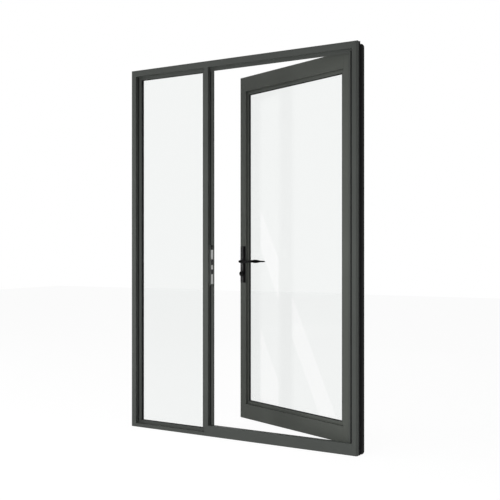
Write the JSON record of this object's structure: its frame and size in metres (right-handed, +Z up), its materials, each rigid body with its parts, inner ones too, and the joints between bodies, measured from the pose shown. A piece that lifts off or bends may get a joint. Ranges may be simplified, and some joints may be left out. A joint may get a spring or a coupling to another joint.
{
  "type": "hinged door with sidelight",
  "caption": "Glazed metal door hung at the right jamb of a slender frame with a fixed glazed sidelight at its left, shown ajar with lever handles.",
  "frame": {"origin": "underside of the frame, at mid width and mid depth of the frame's main profile", "axes": "+X to the hinge side, +Y away from the approach side, +Z up"},
  "size_m": [1.576, 0.4401, 2.3],
  "materials": {
    "frame_paint": "fine satin powder coat, anthracite green-grey",
    "leaf_paint": "fine satin powder coat, anthracite green-grey",
    "core_plastic": "matt black",
    "anchor_metal": "matt black",
    "seal_rubber": "matt black",
    "gasket_rubber": "matt black",
    "clear_glass": "clear, polished",
    "hinge_metal": "satin black",
    "handle_black": "satin black",
    "lock_steel": "fine brushed"
  },
  "bodies": {
    "frame": {"head_front_shell": "frame_paint", "head_rear_shell": "frame_paint", "left_jamb_front_shell": "frame_paint", "left_jamb_rear_shell": "frame_paint", "right_jamb_front_shell": "frame_paint", "right_jamb_rear_shell": "frame_paint", "mullion_front_shell": "frame_paint", "mullion_rear_shell": "frame_paint", "sidelight_sill": "frame_paint", "door_threshold": "frame_paint", "sidelight_bead_left": "frame_paint", "sidelight_bead_right": "frame_paint", "sidelight_bead_top": "frame_paint", "sidelight_bead_bottom": "frame_paint", "insulating_core": "core_plastic", "anchor_strip_left": "anchor_metal", "anchor_strip_right": "anchor_metal", "side_seal_left": "seal_rubber", "side_seal_right": "seal_rubber", "sidelight_gasket": "gasket_rubber", "sidelight_glass": "clear_glass", "hinge_bottom_jamb_part": "hinge_metal", "hinge_middle_jamb_part": "hinge_metal", "hinge_top_jamb_part": "hinge_metal", "strike_plate": "lock_steel"},
    "leaf": {"leaf_lock_stile": "leaf_paint", "leaf_hinge_stile": "leaf_paint", "leaf_top_rail": "leaf_paint", "leaf_bottom_rail": "leaf_paint", "leaf_bead_left": "leaf_paint", "leaf_bead_right": "leaf_paint", "leaf_bead_top": "leaf_paint", "leaf_bead_bottom": "leaf_paint", "leaf_gasket": "gasket_rubber", "leaf_glass": "clear_glass", "lock_face_plate": "lock_steel", "near_back_plate": "handle_black", "far_back_plate": "handle_black", "lock_cylinder": "lock_steel", "hinge_bottom_door_part": "hinge_metal", "hinge_middle_door_part": "hinge_metal", "hinge_top_door_part": "hinge_metal"},
    "lever_set": {"near_lever": "handle_black", "far_lever": "handle_black", "spindle": "lock_steel"}
  },
  "joints": [
    {"name": "leaf_hinge", "type": "hinge", "parent": "frame", "child": "leaf", "pos_m": [0.73, 0.055, 1.15], "axis": [0, 0, -1], "range_deg": [-20, 70]},
    {"name": "lever_turn", "type": "hinge", "parent": "leaf", "child": "lever_set", "pos_m": [-0.12248, 0.3267, 1.067], "axis": [0.342, 0.9397, 0], "range_deg": [0, 40], "stiffness_Nm_per_rad": 1.5, "springref_deg": -14.32}
  ]
}
